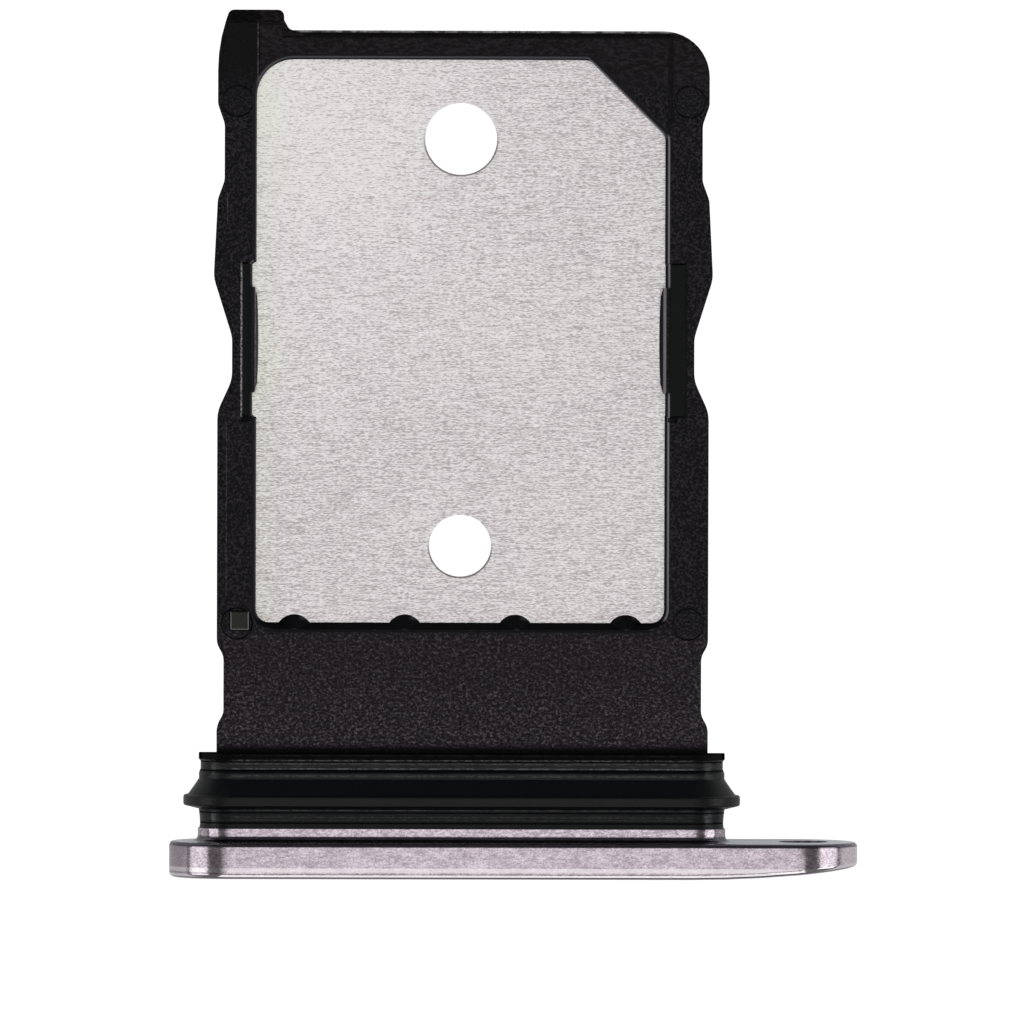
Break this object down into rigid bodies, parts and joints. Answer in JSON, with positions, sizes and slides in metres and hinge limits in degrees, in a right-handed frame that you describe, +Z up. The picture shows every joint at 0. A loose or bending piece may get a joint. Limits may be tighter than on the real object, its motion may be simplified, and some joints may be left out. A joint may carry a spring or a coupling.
{
  "type": "sim card tray",
  "caption": "Card tray for a phone: a metal face plate with an ejector pin hole, a rubber lip seal and a black moulded carrier whose pocket holds a nano card on a brushed steel plate.",
  "frame": {"origin": "middle of the whole tray's width and length, level with the underside of the face plate", "axes": "+X towards the pin hole end of the face plate, +Y from the face plate to the inner end, +Z up out of the card pocket"},
  "size_m": [0.0153, 0.0192, 0.0028],
  "materials": {
    "bezel_metal": "polished pale pink face with finely brushed sides",
    "seal_rubber": "smooth black rubber",
    "carrier_plastic": "fine spark texture, black",
    "plate_steel": "brushed across its width"
  },
  "bodies": {
    "root": {"bezel": "bezel_metal", "seal": "seal_rubber", "carrier_frame": "carrier_plastic", "floor_plate": "plate_steel"}
  },
  "joints": []
}
